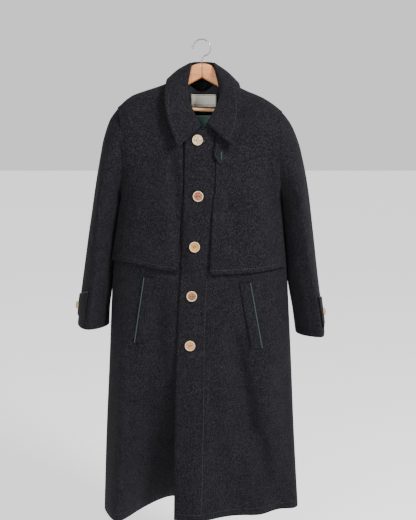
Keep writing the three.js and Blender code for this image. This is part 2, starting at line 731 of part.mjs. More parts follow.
const LABEL_EASE = 0.85;
const LABEL = { left: 40, right: -31, top: -144, bottom: -180 };
const labelBase = (u, v) => backAt(mix(LABEL.right, LABEL.left, u), mix(LABEL.top, LABEL.bottom, v));
const label = laidOn(labelBase, -facingDepth - LINING / 2 - INNER_GAP - LABEL_EASE - LABEL_THICKNESS / 2);
addPiece('neck_label', clothWall(label, 4, 2, LABEL_THICKNESS), 'label');

// Throat tab, hanging from under the left leaf of the collar, by its two edges
const THROAT_TAB = table(['along', 'innerX', 'innerZ', 'outerX', 'outerZ'], [
  [0, 44, -240, 69, -262], [1, 40, -260, 70, -279], [2, 35, -283, 72, -293], [3, 30.5, -304, 72.5, -303],
  [4, 38, -317, 70.5, -316], [5, 46, -330, 52, -332],
]);
const TAB_EASE = 0.5;
const TAB_LIFT = 2 * (CLOTH + SEAM) + TAB_EASE;
const tabBase = (u, v) => {
  const row = readTable(THROAT_TAB, 5 * v);
  return frontAt('left', mix(row.innerX, row.outerX, u), mix(row.innerZ, row.outerZ, u));
};
addPiece('throat_tab', clothWall(laidOn(tabBase, -TAB_LIFT), 4, 10), 'wool');

// Cuff straps, from the ridge seam round the outer side, by their upper and lower edges
const STRAP_COLUMNS = ['along', 'topRow', 'bottomRow'];
const CUFF_STRAP = {
  left: table(STRAP_COLUMNS, [[0, 9.23, 10.62], [0.5, 9.4, 10.62], [0.85, 9.72, 10.6], [1, 9.98, 10.4]]),
  right: table(STRAP_COLUMNS, [[0, 9.3, 10.55], [0.5, 9.55, 10.55], [0.85, 9.85, 10.48], [1, 10.1, 10.35]]),
};
const STRAP_START = 74;
const STRAP_END = -8;
const STRAP_EASE = 0.3;
const STRAP_BUTTON_AT = 0.8;
const strapBase = (side) => (u, v) => {
  const row = readTable(CUFF_STRAP[side], u);
  return sleevePoint(side, mix(row.topRow, row.bottomRow, v), mix(STRAP_START, STRAP_END, u));
};

// A body set on a surface point, its own +Z turned to stand out from the cloth
function setOnCloth(mesh, surface, u, v, way, height) {
  const normal = normalAt(surface, u, v, 20, 20).multiplyScalar(way);
  mesh.position.copy(surface(u, v)).addScaledVector(normal, height);
  mesh.quaternion.setFromUnitVectors(new THREE.Vector3(0, 0, 1), normal);
}

// A button turned on its axis: a raised rim round a sunken middle, in parts of radius and thickness
const BUTTON_PROFILE = table(['out', 'up'], [
  [0, 0], [0.8, 0], [1, 0.45], [0.96, 1], [0.8, 1], [0.7, 0.66], [0, 0.6],
]);
const BUTTON_SIDES = 16;

function buttonGeometry(radius) {
  const profile = BUTTON_PROFILE.map((at) => new THREE.Vector2(at.out * radius, at.up * BUTTON_THICKNESS));
  return new THREE.LatheGeometry(profile, BUTTON_SIDES).rotateX(Math.PI / 2);
}

for (const side of ['left', 'right']) {
  const way = side === 'left' ? -1 : 1;
  const base = strapBase(side);
  const strap = laidOn(base, way * (CLOTH + SEAM + STRAP_EASE));
  addPiece(`cuff_strap_${side}`, clothWall(strap, 8, 4), 'wool');
  const button = addPiece(`cuff_button_${side}`, buttonGeometry(CUFF_BUTTON_RADIUS), 'horn');
  setOnCloth(button, strap, STRAP_BUTTON_AT, 0.5, way, CLOTH / 2 + SEAM);
}

// Front buttons, on the overlap
const FRONT_BUTTONS = table(['x', 'z'], [
  [-11, -267], [-9.5, -415], [-19, -550.5], [-27, -685], [-32, -823],
]);
FRONT_BUTTONS.forEach((place, k) => {
  const width = 2 * FRONT_BUTTON_RADIUS;
  const around = (u, v) => frontAt('left', place.x + width * (u - 0.5), place.z - width * (v - 0.5));
  const button = addPiece(`button_${k + 1}`, buttonGeometry(FRONT_BUTTON_RADIUS), 'horn');
  setOnCloth(button, around, 0.5, 0.5, -1, CLOTH / 2 + SEAM);
});

// Pocket welts, each with a piped outer edge
const POCKETS = {
  left: { topX: 131.5, topZ: -651, bottomX: 165, bottomZ: -835 },
  right: { topX: -156, topZ: -637, bottomX: -185, bottomZ: -821 },
};
const PIPING_STEPS = 12;
const WELT_EASE = 0.4;
for (const side of ['left', 'right']) {
  const sign = side === 'left' ? 1 : -1;
  const pocket = POCKETS[side];
  const along = (v, inwards) => frontAt(
    side,
    mix(pocket.topX, pocket.bottomX, v) - sign * inwards,
    mix(pocket.topZ, pocket.bottomZ, v),
  );
  const welt = (u, v) => along(v, WELT_WIDTH * (1 - u) + PIPING_RADIUS + SEAM);
  const weltOnFront = laidOn(welt, -sign * (CLOTH + SEAM + WELT_EASE));
  addPiece(`pocket_welt_${side}`, clothWall(weltOnFront, 3, 10), 'wool');
  const edge = (u, v) => along(v, WELT_WIDTH * (0.5 - u));
  const lifted = laidOn(edge, -sign * (CLOTH / 2 + PIPING_RADIUS + SEAM + WELT_EASE));
  const points = Array.from({ length: PIPING_STEPS + 1 }, (_, k) => lifted(0.5, k / PIPING_STEPS));
  addPiece(`pocket_piping_${side}`, cordAlong(points, PIPING_RADIUS, 8, PIPING_STEPS), 'piping');
}

// Hanger arms. Inside the neck opening their top has a shape of its own, and from there out it
// follows the cloth that rests on it.
const WOOD_TOP = table(['out', 'z'], [
  [0, -62], [18, -64], [32, -71], [45, -83], [60, -102], [75, -110.5], [90, -122],
]);
const WOOD_HEIGHT = table(['out', 'height'], [
  [0, 39], [18, 46.9], [32, 47.6], [45, 42.8], [60, 34], [80, 37], [100, 40], [150, 39], [212, 20],
]);
const SEATED_FROM = 88;
const ARM_END = 212;
const ARM_STATIONS = 16;
const ARM_SIDES = 10;
const ARM_ROUNDNESS = 0.6;
const WOOD_EASE = 3.2;

function woodTop(side, out) {
  if (out < SEATED_FROM) {
    return readTable(WOOD_TOP, out).z;
  }
  return readTable(SHOULDER[side], out).z - CLOTH / 2 - WOOD_EASE;
}

function woodHeight(out) {
  return readTable(WOOD_HEIGHT, out).height;
}

for (const side of ['left', 'right']) {
  const sign = side === 'left' ? 1 : -1;
  const rings = [];
  for (let k = 0; k <= ARM_STATIONS; k += 1) {
    const out = mix(SEAM / 2, ARM_END, k / ARM_STATIONS);
    const top = woodTop(side, out);
    const half = woodHeight(out) / 2;
    const ring = Array.from({ length: ARM_SIDES }, (_, i) => {
      const angle = 2 * Math.PI * (i + 0.5) / ARM_SIDES;
      const y = softPower(Math.cos(angle), ARM_ROUNDNESS) * WOOD_THICKNESS / 2;
      const z = top - half + softPower(Math.sin(angle), ARM_ROUNDNESS) * half;
      return new THREE.Vector3(sign * out, y, z);
    });
    rings.push(sign > 0 ? ring : ring.reverse());
  }
  addPiece(`hanger_arm_${side}`, loftedBar(rings), 'wood');
}

// The trouser bar runs from under one arm to under the other, so it leans as the hanger does
const barEnds = ['right', 'left'].map((side) => {
  const x = side === 'left' ? BAR_HALF_LENGTH : -BAR_HALF_LENGTH;
  const under = woodTop(side, BAR_HALF_LENGTH) - woodHeight(BAR_HALF_LENGTH);
  return new THREE.Vector3(x, 0, under - BAR_RADIUS - SEAM / 2);
});
addPiece('trouser_bar', cordAlong(barEnds, BAR_RADIUS, 12, 1), 'wood');

// Hook: from its tip over the bend and down a small swing to the wood
const HOOK_FROM = 168;
const HOOK_TO = -38;
const HOOK_BENDS = 8;
const HOOK_NECK = table(['x', 'z'], [[6, -43.5], [0.4, -51], [0, WOOD_TOP[0].z + SEAM]]);
const TIP_RADIUS = 3;
const hookPoints = [];
for (let k = 0; k <= HOOK_BENDS; k += 1) {
  const turn = degrees(mix(HOOK_FROM, HOOK_TO, k / HOOK_BENDS));
  const z = WIRE_RADIUS - HOOK_RADIUS + HOOK_RADIUS * Math.sin(turn);
  hookPoints.push(new THREE.Vector3(HOOK_RADIUS * Math.cos(turn), 0, z));
}
hookPoints.push(...HOOK_NECK.map((at) => new THREE.Vector3(at.x, 0, at.z)));
addPiece('hook', cordAlong(hookPoints, WIRE_RADIUS, 10, 44), 'steel');
const tip = addPiece('hook_tip', new THREE.SphereGeometry(TIP_RADIUS, 12, 8), 'steel');
const tipWay = hookPoints[0].clone().sub(hookPoints[1]).setLength(TIP_RADIUS + SEAM);
tip.position.copy(hookPoints[0]).add(tipWay);

export default coat;
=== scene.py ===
import math

import bpy
import numpy as np
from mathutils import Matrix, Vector
from mathutils.bvhtree import BVHTree


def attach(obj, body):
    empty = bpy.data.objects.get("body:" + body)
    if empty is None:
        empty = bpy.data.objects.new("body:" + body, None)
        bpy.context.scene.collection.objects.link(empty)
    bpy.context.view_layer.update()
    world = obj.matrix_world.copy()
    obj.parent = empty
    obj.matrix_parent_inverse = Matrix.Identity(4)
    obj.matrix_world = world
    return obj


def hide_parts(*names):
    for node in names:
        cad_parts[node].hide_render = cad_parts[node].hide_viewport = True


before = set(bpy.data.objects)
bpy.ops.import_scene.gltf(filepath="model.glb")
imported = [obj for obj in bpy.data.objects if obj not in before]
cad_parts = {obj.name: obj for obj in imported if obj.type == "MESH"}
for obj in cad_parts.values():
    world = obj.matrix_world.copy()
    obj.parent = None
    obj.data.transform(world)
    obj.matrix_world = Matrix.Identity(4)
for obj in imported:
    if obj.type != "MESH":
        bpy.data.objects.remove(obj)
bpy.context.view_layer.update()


# Wool cloth of the coat: a thick, brushed loden in charcoal melange, whose dark ground carries
# paler fibres that all lie downwards. The collar is cut from the same cloth; its copy is painted a
# little paler, a painted highlight for the more light that the collar catches.
class Socket:
    """An output of a shader node. Sums, differences and products of it add their Math nodes."""

    def __init__(self, finish, link):
        self.finish = finish
        self.link = link

    def combined(self, operation, first, second):
        return self.finish.add("ShaderNodeMath", {"operation": operation}, {0: first, 1: second})

    def __add__(self, other):
        return self.combined("ADD", self, other)

    __radd__ = __add__

    def __mul__(self, other):
        return self.combined("MULTIPLY", self, other)

    __rmul__ = __mul__

    def __sub__(self, other):
        return self.combined("SUBTRACT", self, other)

    def __rsub__(self, other):
        return self.combined("SUBTRACT", other, self)


class Finish:
    """A material that gets its nodes one at a time, and ends in one Principled shader."""

    def __init__(self, name, **constants):
        self.material = bpy.data.materials.new(name)
        self.material.use_nodes = True
        self.tree = self.material.node_tree
        self.shader = self.tree.nodes["Principled BSDF"]
        for socket, value in constants.items():
            self.shader.inputs[socket.replace("_", " ")].default_value = value

    def add(self, kind, settings=None, inputs=None, out=0):
        node = self.tree.nodes.new(kind)
        for key, value in (settings or {}).items():
            if key == "stops":
                ramp = node.color_ramp
                while len(ramp.elements) < len(value):
                    ramp.elements.new(0.5)
                for element, (place, colour) in zip(ramp.elements, value):
                    element.position = place
                    element.color = (*colour, 1)
            else:
                setattr(node, key, value)
        for key, value in (inputs or {}).items():
            if isinstance(value, Socket):
                self.tree.links.new(value.link, node.inputs[key])
            else:
                node.inputs[key].default_value = value
        return Socket(self, node.outputs[out])

    def place(self, stretch=(1, 1, 1), turn=(0, 0, 0)):
        """Where a point of the piece lies, stretched and turned for a pattern."""
        at = self.add("ShaderNodeTexCoord", out="Object")
        sizes = {"Vector": at, "Scale": stretch, "Rotation": turn}
        return self.add("ShaderNodeMapping", inputs=sizes)

    def grain(self, at, scale, detail=2.0, roughness=0.5):
        """Smooth noise from 0 to 1, so many grains to the metre."""
        sizes = {"Vector": at, "Scale": scale, "Detail": detail, "Roughness": roughness}
        return self.add("ShaderNodeTexNoise", inputs=sizes, out=0)

    def ramp(self, value, stops):
        return self.add("ShaderNodeValToRGB", {"stops": stops}, {"Fac": value})

    def blend(self, amount, first, second):
        """Colour mixed from two others; the amount runs from 0 to 1."""
        settings = {"data_type": "RGBA", "blend_type": "MIX", "clamp_factor": True}
        return self.add("ShaderNodeMix", settings, {0: amount, 6: first, 7: second}, out=2)

    def wear(self, colour=None, roughness=None, height=None, depth=0.001, strength=1.0):
        """Joins what varies to the shader; height is relief, depth its size in metres."""
        if colour is not None:
            self.tree.links.new(colour.link, self.shader.inputs["Base Color"])
        if roughness is not None:
            self.tree.links.new(roughness.link, self.shader.inputs["Roughness"])
        if height is not None:
            sizes = {"Height": height, "Distance": depth, "Strength": strength}
            relief = self.add("ShaderNodeBump", inputs=sizes)
            self.tree.links.new(relief.link, self.shader.inputs["Normal"])
        return self.material


# Grains to the metre, and how much the brushed cloth's grains are drawn out downwards.
FIBRE_GRAINS = 1300
TUFT_GRAINS = 360
CLOUD_GRAINS = 24
NEP_GRAINS = 390
BRUSHED = (1, 1, 0.62)


def loden(name, ground, fibre, sheen):
    """Charcoal melange: paler fibres in a dark ground, cloudy by the hand's width, brushed down."""
    cloth = Finish(name, Roughness=0.96, Sheen_Weight=sheen, Sheen_Roughness=0.5)
    cloth.shader.inputs["Specular IOR Level"].default_value = 0.08
    cloth.shader.inputs["Sheen Tint"].default_value = (0.62, 0.63, 0.72, 1)
    brushed = cloth.place(stretch=BRUSHED)
    fibres = cloth.grain(brushed, FIBRE_GRAINS, detail=3, roughness=0.65)
    tufts = cloth.grain(brushed, TUFT_GRAINS, detail=3, roughness=0.75)
    clouds = cloth.grain(cloth.place(), CLOUD_GRAINS, detail=4, roughness=0.65)
    neps = cloth.grain(cloth.place(), NEP_GRAINS, detail=1)
    pale = cloth.ramp(fibres, [(0.48, (0, 0, 0)), (0.68, (1, 1, 1))])
    tufted = cloth.ramp(tufts, [(0.44, (0, 0, 0)), (0.62, (1, 1, 1))])
    salted = cloth.ramp(neps, [(0.60, (0, 0, 0)), (0.68, (1, 1, 1))])
    mixed = pale * 0.32 + tufted * 0.5 + clouds * 0.3 + salted * 0.8 - 0.13
    colour = cloth.blend(mixed, (*ground, 1), (*fibre, 1))
    height = fibres * 0.5 + tufts * 0.9 + clouds * 0.4
    return cloth.wear(colour, height=height, depth=0.0014, strength=0.9)


wool = loden("wool", ground=(0.0014, 0.0014, 0.0020), fibre=(0.0195, 0.0185, 0.0225), sheen=0.018)
# Painted highlight: the collar's copy of the loden has a slightly paler ground and fibre colour for
# the light it catches.
collar_wool_painted_highlight = loden("collar_wool_painted_highlight", ground=(0.0015, 0.0015, 0.0021), fibre=(0.0200, 0.0190, 0.0230),
                    sheen=0.022)


# Body: a back in one piece and two fronts, the wearer's left lapped over the right. Each is one
# layer of loden 2.5 mm thick, seamed at side and shoulder, and hangs in long soft folds. Creases
# are pressed in one by one, each along a line, as x, z, x, z, half width and depth in metres.
CREASE_FADE = 0.3
CREASE_START = 0.15
CREASE_BOW = 0.25


def crease_depth(across, down, creases):
    """Depth at each place of soft troughs (below 0) and ridges that fade out at their ends."""
    depth = np.zeros(len(across))
    for a0, d0, a1, d1, half, height in creases:
        run = np.array([a1 - a0, d1 - d0])
        length = float(np.hypot(*run))
        run = run / length
        along = ((across - a0) * run[0] + (down - d0) * run[1]) / length
        off = (across - a0) * run[1] - (down - d0) * run[0]
        bow = CREASE_BOW * half * np.sin(np.pi * np.clip(along, 0, 1) * 1.7 + a0 * 40)
        fade = np.clip(along / CREASE_FADE + CREASE_START, 0, 1)
        fade = fade * np.clip((1 - along) / CREASE_FADE + CREASE_START, 0, 1)
        fade = fade * fade * (3 - 2 * fade)
        beyond = np.clip(np.abs(along - 0.5) - 0.5, 0, None) * length / half
        depth += height * fade * np.exp(-((off + bow) / half) ** 2 - beyond ** 2)
    return depth


RIM_WIDTH = 0.0038
RIM_GROWTH = 0.0004
SAME_WAY = 0.7


def grow_rims(mesh):
    """Moves the rims of a cloth wall outwards, so that no light shows through the seams."""
    points = [vertex.co for vertex in mesh.vertices]
    moves = {}
    for face in mesh.polygons:
        corners = [points[k] for k in face.vertices]
        shortest = min((a - b).length for a, b in zip(corners, corners[1:] + corners[:1]))
        if shortest < RIM_WIDTH and len(corners) == 4:
            for k in face.vertices:
                known = moves.setdefault(k, [])
                if all(face.normal.dot(other) < SAME_WAY for other in known):
                    known.append(face.normal.copy())
    for k, ways in moves.items():
        for way in ways:
            mesh.vertices[k].co += way * RIM_GROWTH


def take_up(piece):
    """Makes a piece the only one that the next step works on."""
    bpy.ops.object.select_all(action="DESELECT")
    piece.select_set(True)
    bpy.context.view_layer.objects.active = piece


def new_piece(name, form):
    piece = bpy.data.objects.new(name, form)
    bpy.context.scene.collection.objects.link(piece)
    take_up(piece)
    return piece


SAME_POINT = 0.00002
QUAD_BEND = math.radians(50)
QUAD_SKEW = math.radians(60)
RIM_ANGLE = math.radians(52)
SMOOTH_ANGLE = math.radians(50)


def soft_piece(node, finish, levels=2, held=1.0, move=None, grown=False):
    """The node's form as a soft piece: quads, rounded by subdivision with its rims held."""
    piece = new_piece(f"{node}_cloth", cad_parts[node].data.copy())
    bpy.ops.object.mode_set(mode="EDIT")
    bpy.ops.mesh.select_mode(type="EDGE")
    bpy.ops.mesh.select_all(action="SELECT")
    bpy.ops.mesh.remove_doubles(threshold=SAME_POINT)
    bpy.ops.mesh.tris_convert_to_quads(face_threshold=QUAD_BEND, shape_threshold=QUAD_SKEW)
    bpy.ops.mesh.select_all(action="DESELECT")
    bpy.ops.mesh.edges_select_sharp(sharpness=RIM_ANGLE)
    bpy.ops.transform.edge_crease(value=held)
    bpy.ops.object.mode_set(mode="OBJECT")
    if grown:
        grow_rims(piece.data)
    rounding = piece.modifiers.new("rounding", "SUBSURF")
    rounding.levels = rounding.render_levels = levels
    bpy.ops.object.modifier_apply(modifier=rounding.name)
    if move is not None:
        points = np.empty(len(piece.data.vertices) * 3)
        piece.data.vertices.foreach_get("co", points)
        points = move(points.reshape(-1, 3))
        piece.data.vertices.foreach_set("co", points.ravel())
    piece.data.materials.clear()
    piece.data.materials.append(finish)
    bpy.ops.object.shade_smooth_by_angle(angle=SMOOTH_ANGLE)
    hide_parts(node)
    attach(piece, "root")
    return piece


FRONT_CREASES = [
    (-0.078, -0.255, -0.055, -0.640, 0.014, -0.011),
    (-0.108, -0.280, -0.094, -0.560, 0.026, 0.006),
    (-0.212, -0.190, -0.226, -0.430, 0.013, -0.006),
    (-0.188, -0.169, -0.150, -0.235, 0.016, -0.003),
    (-0.160, -0.300, -0.185, -0.560, 0.030, 0.0035),
    (0.172, -0.320, 0.212, -0.570, 0.016, -0.010),
    (0.122, -0.290, 0.140, -0.600, 0.034, 0.006),
    (0.070, -0.320, 0.082, -0.580, 0.022, -0.005),
    (0.025, -0.671, 0.014, -1.042, 0.012, 0.003),
    (0.094, -0.760, 0.137, -1.120, 0.019, -0.016),
    (0.139, -1.040, 0.190, -1.250, 0.022, -0.015),
    (0.193, -0.820, 0.186, -1.080, 0.026, 0.008),
    (0.052, -0.740, 0.078, -1.180, 0.024, 0.007),
    (0.113, -0.727, 0.128, -0.850, 0.009, -0.003),
    (0.236, -0.880, 0.252, -1.180, 0.016, -0.004),
    (-0.211, -0.755, -0.246, -1.180, 0.026, 0.008),
    (-0.150, -0.860, -0.172, -1.240, 0.024, -0.010),
    (-0.118, -0.640, -0.114, -0.960, 0.022, -0.014),
    (0.050, -1.090, 0.062, -1.300, 0.024, -0.004),
]
BACK_CREASES = [
    (-0.120, -0.210, -0.090, -0.420, 0.022, -0.0045),
    (0.104, -0.230, 0.076, -0.480, 0.024, -0.005),
    (-0.196, -0.330, -0.170, -0.600, 0.018, -0.005),
    (0.198, -0.340, 0.168, -0.640, 0.018, -0.0055),
    (-0.040, -0.300, -0.034, -0.700, 0.026, 0.004),
    (0.128, -0.600, 0.160, -1.000, 0.024, -0.007),
    (-0.112, -0.640, -0.140, -1.100, 0.026, 0.007),
    (0.040, -0.800, 0.058, -1.240, 0.024, 0.007),
    (-0.210, -0.820, -0.234, -1.200, 0.020, -0.006),
    (-0.020, -0.960, -0.028, -1.280, 0.020, -0.005),
]


FRONT_SIDE, FRONT_FADE = 0.262, 0.03
BACK_SIDE, BACK_FADE = 0.27, 0.04


def press_front(points):
    """Creases of the front, out of it towards -Y; they fade out before the side seam."""
    across, down = points[:, 0], points[:, 2]
    out = crease_depth(across, down, FRONT_CREASES)
    points[:, 1] -= out * np.clip((FRONT_SIDE - np.abs(across)) / FRONT_FADE, 0, 1)
    return points


def press_back(points):
    """Creases of the back, out of it towards +Y; they fade out before the side seam."""
    across, down = points[:, 0], points[:, 2]
    out = crease_depth(across, down, BACK_CREASES)
    points[:, 1] += out * np.clip((BACK_SIDE - np.abs(across)) / BACK_FADE, 0, 1)
    return points


back = soft_piece("back_panel", wool, move=press_back, grown=True)
front_left = soft_piece("front_left", wool, move=press_front, grown=True)
front_right = soft_piece("front_right", wool, move=press_front, grown=True)


# Hem and front facing, sewn through from inside: a row of topstitches 20 mm above the hem all
# round, and one down the left front beside the buttons. Each stitch is a short bead of thread
# that lies on the cloth where a straight line from the given side meets it.
VIEWS = {"front": -1, "back": 1}


def on_cloth(cloth, seen_from, line):
    """Points and normals of a cloth along a line, each place of it given as across and height."""
    points = [vertex.co.copy() for vertex in cloth.data.vertices]
    tree = BVHTree.FromPolygons(points, [list(face.vertices) for face in cloth.data.polygons])
    side = VIEWS[seen_from]
    towards = Vector((0, -side, 0))
    hits = []
    for across, down in line:
        place, normal, *_ = tree.ray_cast(Vector((across, side, down)), towards)
        if place is not None:
            hits.append((place, normal if normal.dot(towards) < 0 else -normal))
    return hits


def even_steps(corners, step):
    """Places at equal distances along a line of corners."""
    corners = np.array(corners)
    lengths = np.hypot(*np.diff(corners, axis=0).T)
    reached = np.concatenate([[0], np.cumsum(lengths)])
    stops = np.linspace(0, reached[-1], max(int(reached[-1] / step), 2))
    return [tuple(np.interp(stop, reached, corners[:, k]) for k in (0, 1)) for stop in stops]


THREAD_SIDES = 6
THREAD_RADIUS = 0.0005
THREAD_SPREAD = 1.3
THREAD_RINGS = [(-0.5, 0), (-0.34, 1), (0.34, 1), (0.5, 0)]


def stitches(name, rows, finish, length=0.0042, pitch=0.0062, turned=False):
    """Rows of stitches as one piece; a row is a cloth, the side it is sewn from and its corners."""
    points, faces = [], []
    for cloth, seen_from, corners in rows:
        hits = on_cloth(cloth, seen_from, even_steps(corners, pitch))
        for k, (place, normal) in enumerate(hits):
            ahead = hits[min(k + 1, len(hits) - 1)][0] - hits[max(k - 1, 0)][0]
            ahead = (ahead - normal * ahead.dot(normal)).normalized()
            beside = normal.cross(ahead)
            if turned:
                ahead, beside = beside, -ahead
            first = len(points)
            for part, wide in THREAD_RINGS:
                for j in range(THREAD_SIDES if wide else 1):
                    angle = 2 * math.pi * j / THREAD_SIDES
                    round_it = beside * math.cos(angle) * THREAD_RADIUS * THREAD_SPREAD
                    round_it = round_it + normal * math.sin(angle) * THREAD_RADIUS
                    points.append(place + ahead * part * length + round_it * wide)
            a, b, end = first + 1, first + 1 + THREAD_SIDES, first + 1 + 2 * THREAD_SIDES
            for j in range(THREAD_SIDES):
                n = (j + 1) % THREAD_SIDES
                faces += [(first, a + n, a + j), (a + j, a + n, b + n, b + j), (b + j, b + n, end)]
    mesh = bpy.data.meshes.new(name)
    mesh.from_pydata(points, [], faces)
    piece = new_piece(name, mesh)
    bpy.ops.object.mode_set(mode="EDIT")
    bpy.ops.mesh.select_all(action="SELECT")
    bpy.ops.mesh.normals_make_consistent(inside=False)
    bpy.ops.object.mode_set(mode="OBJECT")
    bpy.ops.object.shade_smooth()
    mesh.materials.append(finish)
    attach(piece, "root")


LINE_CORNERS = 26
NEAR_EDGE = 0.009


def above_edge(cloth, start, stop, inset):
    """A line above a cloth's lower edge, between two places across it."""
    points = np.array([vertex.co for vertex in cloth.data.vertices])
    line = []
    for across in np.linspace(start, stop, LINE_CORNERS):
        near = points[np.abs(points[:, 0] - across) < NEAR_EDGE, 2]
        line.append((across, near.min() + inset))
    return line


def yarn(name, dark, pale):
    """Sewing thread, mottled by its twist."""
    thread = Finish(name, Roughness=0.8)
    twist = thread.grain(thread.place(), 1500, detail=1)
    return thread.wear(thread.blend(twist, (*dark, 1), (*pale, 1)))


grey_yarn = yarn("grey_yarn", (0.0025, 0.0025, 0.003), (0.0125, 0.0125, 0.015))
teal_yarn = yarn("teal_yarn", (0.008, 0.024, 0.022), (0.020, 0.052, 0.047))
FACING_LINE = [(0.013, -0.646), (0.009, -0.716), (0.006, -0.817), (0.006, -0.932), (0.0, -1.25),
               (-0.002, -1.31)]
HEM_STITCH = 0.020
body_rows = [
    (front_left, "front", above_edge(front_left, -0.070, 0.272, HEM_STITCH)),
    (front_right, "front", above_edge(front_right, -0.276, -0.092, HEM_STITCH)),
    (back, "back", above_edge(back, -0.272, 0.270, HEM_STITCH)),
    (front_left, "front", FACING_LINE),
]
stitches("hem_and_facing_stitches", body_rows, grey_yarn)


# Storm flaps: loden yokes sewn in at shoulder and armhole, loose from the chest down. They lie on
# the fronts and take the same creases, and their lower edge stands a little away. A row of
# topstitches runs 12 mm inside the lower edge.
FLAP_STITCH = 0.012
flap_left = soft_piece("storm_flap_left", wool, move=press_front)
flap_right = soft_piece("storm_flap_right", wool, move=press_front)
flap_rows = [
    (flap_left, "front", above_edge(flap_left, 0.026, 0.206, FLAP_STITCH)),
    (flap_right, "front", above_edge(flap_right, -0.214, -0.074, FLAP_STITCH)),
]
stitches("flap_stitches", flap_rows, grey_yarn)


# Sleeves: a front and a back half each, seamed down the outer front and under the arm, and a
# crescent cap let in at the shoulder. They hang empty, so they break in short wrinkles at the
# elbow. Creases go by metres round the sleeve, 0 the outer side and front positive, and height.
SLEEVE_AXES = {"left": [(0.232, 0, -0.31), (0.304, -0.018, -0.81)],
               "right": [(-0.240, 0, -0.31), (-0.308, -0.018, -0.79)]}
SLEEVE_GIRTH = 0.052
SLEEVE_CREASES = {
    "left": [
        (0.010, -0.300, 0.060, -0.470, 0.014, -0.004),
        (0.085, -0.400, 0.060, -0.620, 0.013, -0.0045),
        (0.040, -0.560, 0.095, -0.600, 0.010, -0.004),
        (0.030, -0.630, 0.080, -0.655, 0.009, -0.0035),
        (0.095, -0.640, 0.075, -0.780, 0.013, 0.003),
        (-0.060, -0.380, -0.030, -0.560, 0.014, -0.004),
        (-0.090, -0.560, -0.040, -0.600, 0.010, -0.004),
        (-0.070, -0.640, -0.100, -0.760, 0.014, 0.0035),
    ],
    "right": [
        (0.012, -0.290, 0.056, -0.440, 0.014, -0.004),
        (0.090, -0.380, 0.066, -0.600, 0.014, -0.0045),
        (0.034, -0.540, 0.090, -0.575, 0.010, -0.004),
        (0.100, -0.620, 0.078, -0.760, 0.013, 0.003),
        (0.040, -0.600, 0.085, -0.640, 0.008, -0.003),
        (-0.055, -0.360, -0.034, -0.540, 0.014, -0.004),
        (-0.085, -0.560, -0.036, -0.585, 0.010, -0.004),
        (-0.080, -0.620, -0.104, -0.740, 0.014, 0.0035),
    ],
}


ARMHOLE_SEAM = 0.0024
ARMHOLE_ACROSS, ARMHOLE_FADE = 0.252, 0.03
ARMHOLE_BOTTOM, ARMHOLE_END = 0.52, 0.08
SLEEVE_TOP, SLEEVE_TOP_FADE = -0.24, 0.06
INNER_SIDE = 0.03
SLEEVE_REST = (
    (-0.74, -0.64, -0.48, -0.445, -0.425, -0.385),
    (0, 0.0062, 0.0062, 0.0105, 0.0095, 0),
)


def drawn_in(points):
    """Draws sleeve and cap in to the armhole seam, so that no slit shows there."""
    near = np.clip((ARMHOLE_ACROSS - np.abs(points[:, 0])) / ARMHOLE_FADE, 0, 1)
    near *= np.clip((points[:, 2] + ARMHOLE_BOTTOM) / ARMHOLE_END, 0, 1)
    points[:, 0] -= np.sign(points[:, 0]) * ARMHOLE_SEAM * near
    return points


def press_sleeve(side):
    """Moves a sleeve's points in or out from the line down its middle, and its inner side, which
    rests on the body, towards it by the height and distance of SLEEVE_REST."""
    top, bottom = (np.array(end) for end in SLEEVE_AXES[side])
    outward = 1 if side == "left" else -1

    def press(points):
        down = points[:, 2]
        part = np.clip((down - top[2]) / (bottom[2] - top[2]), -0.3, 1.1)
        off = points - (top + part[:, None] * (bottom - top))
        off[:, 2] = 0
        around = SLEEVE_GIRTH * np.arctan2(-off[:, 1], outward * off[:, 0])
        out = crease_depth(around, down, SLEEVE_CREASES[side])
        hold = np.clip((SLEEVE_TOP - down) / SLEEVE_TOP_FADE, 0, 1)
        points += (out * hold)[:, None] * off / np.linalg.norm(off, axis=1)[:, None]
        inner = np.clip(-outward * off[:, 0] / INNER_SIDE, 0, 1)
        points[:, 0] -= outward * inner * np.interp(down, *SLEEVE_REST)
        return drawn_in(points)

    return press


for side in ("left", "right"):
    press = press_sleeve(side)
    front_half = soft_piece(f"sleeve_front_{side}", wool, held=0.8, move=press, grown=True)
    back_half = soft_piece(f"sleeve_back_{side}", wool, held=0.8, move=press, grown=True)
    cap = soft_piece(f"shoulder_cap_{side}", wool, held=0.8, move=drawn_in, grown=True)


# Collar: stand and leaf of loden on a stiff inner cloth, sewn round the neck and folded over, so
# that the leaf lies on the flaps. The throat tab hangs from under its left leaf by one end.
collar = soft_piece("collar", collar_wool_painted_highlight)
tab = soft_piece("throat_tab", wool, move=press_front)
LEAF_LINES = [
    [(0.086, -0.128), (0.093, -0.160), (0.092, -0.196), (0.087, -0.230), (0.072, -0.264),
     (0.050, -0.254), (0.026, -0.236)],
    [(-0.080, -0.118), (-0.088, -0.150), (-0.088, -0.196), (-0.076, -0.232), (-0.058, -0.264),
     (-0.046, -0.250)],
]
stitches("collar_stitches", [(collar, "front", line) for line in LEAF_LINES], grey_yarn)
TAB_LINE = [(0.043, -0.280), (0.037, -0.303), (0.048, -0.324), (0.065, -0.312), (0.067, -0.290)]
TAB_HOLE = [(0.0521, -0.297), (0.0521, -0.316), (0.0539, -0.316), (0.0539, -0.297)]
stitches("tab_stitches", [(tab, "front", TAB_LINE)], grey_yarn, pitch=0.005, length=0.0034)
stitches("tab_buttonhole", [(tab, "front", TAB_HOLE)], teal_yarn, pitch=0.0010, length=0.0015,
         turned=True)


